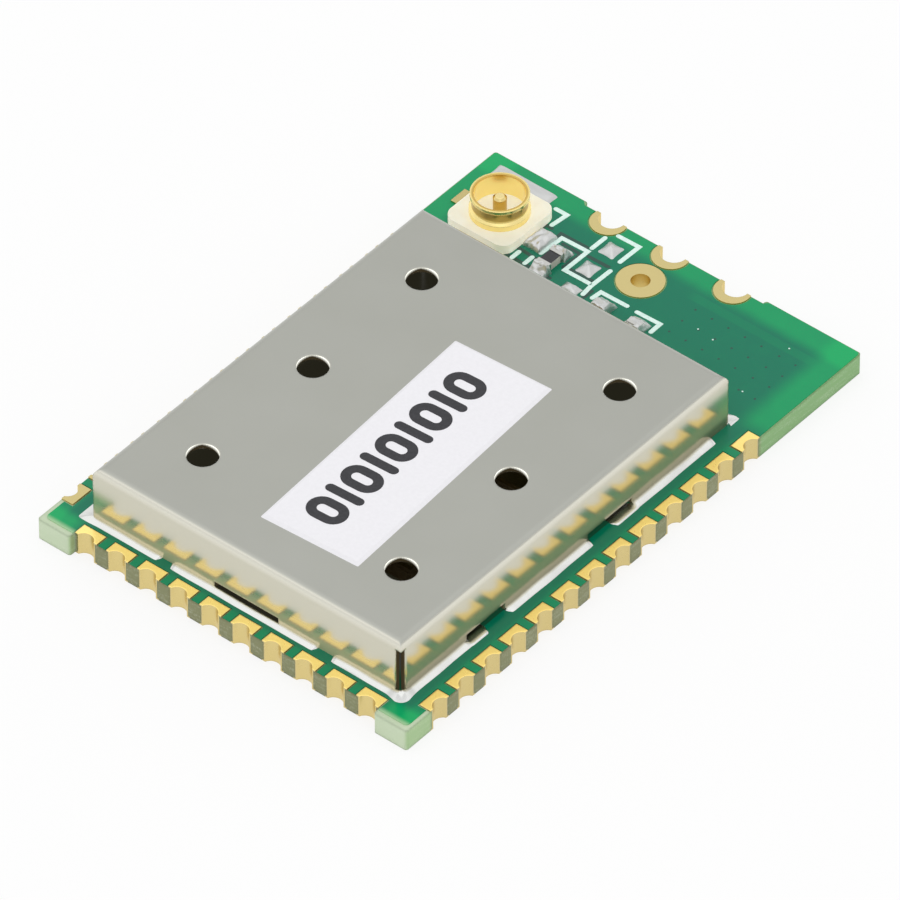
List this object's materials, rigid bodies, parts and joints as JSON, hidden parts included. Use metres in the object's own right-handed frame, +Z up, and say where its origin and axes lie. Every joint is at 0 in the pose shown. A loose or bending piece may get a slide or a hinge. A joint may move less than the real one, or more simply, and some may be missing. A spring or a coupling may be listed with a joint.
{
  "type": "radio module",
  "caption": "Surface-mount radio module: green board with castellated edge pads, vented shield can, micro coax receptacle and antenna wire hole.",
  "frame": {"origin": "middle of the board's underside, the face that is soldered to a host board", "axes": "+Y along the board towards the antenna end, +Z up out of the component side, +X to the right when seen from above with the antenna end away from the viewer"},
  "size_m": [0.015, 0.0224, 0.003],
  "materials": {
    "solder_mask": "green solder mask on glass-epoxy laminate",
    "edge_gold": "immersion gold on copper, satin",
    "ring_gold": "immersion gold on copper, matt",
    "tin_plate": "rolled tin-plated steel, satin",
    "solder": "reflowed solder, bright",
    "label_paper": "smooth white label",
    "ivory_moulding": "ivory moulded liquid-crystal polymer",
    "contact_gold": "polished gold plate",
    "resistor_black": "black glass over ceramic",
    "capacitor_tan": "bare tan ceramic",
    "inductor_grey": "pale ceramic",
    "end_tin": "plated tin, satin",
    "package_black": "black moulding compound, fine matt",
    "crystal_case": "fired ceramic",
    "crystal_lid": "plated sealing lid",
    "filter_block": "fired ceramic block"
  },
  "bodies": {
    "root": {"board": "solder_mask", "front_pads": "edge_gold", "left_pads": "edge_gold", "right_pads": "edge_gold", "antenna_edge_pads": "ring_gold", "antenna_hole_ring": "ring_gold", "shield_can": "tin_plate", "shield_solder": "solder", "label": "label_paper", "coax_base": "ivory_moulding", "coax_shell": "contact_gold", "coax_pin": "contact_gold", "coax_solder": "solder", "series_resistor": "resistor_black", "matching_capacitor": "capacitor_tan", "matching_inductor": "inductor_grey", "outer_chip_caps": "end_tin", "outer_chip_solder": "solder", "empty_pad_solder": "solder", "controller_chip": "package_black", "controller_leads": "end_tin", "transceiver_chip": "package_black", "transceiver_leads": "end_tin", "radio_crystal_case": "crystal_case", "radio_crystal_lid": "crystal_lid", "clock_crystal_case": "crystal_case", "clock_crystal_lid": "crystal_lid", "harmonic_filter": "filter_block", "inner_capacitors": "capacitor_tan", "balun_inductors": "inductor_grey", "bias_resistors": "resistor_black", "inner_chip_caps": "end_tin"}
  },
  "joints": []
}
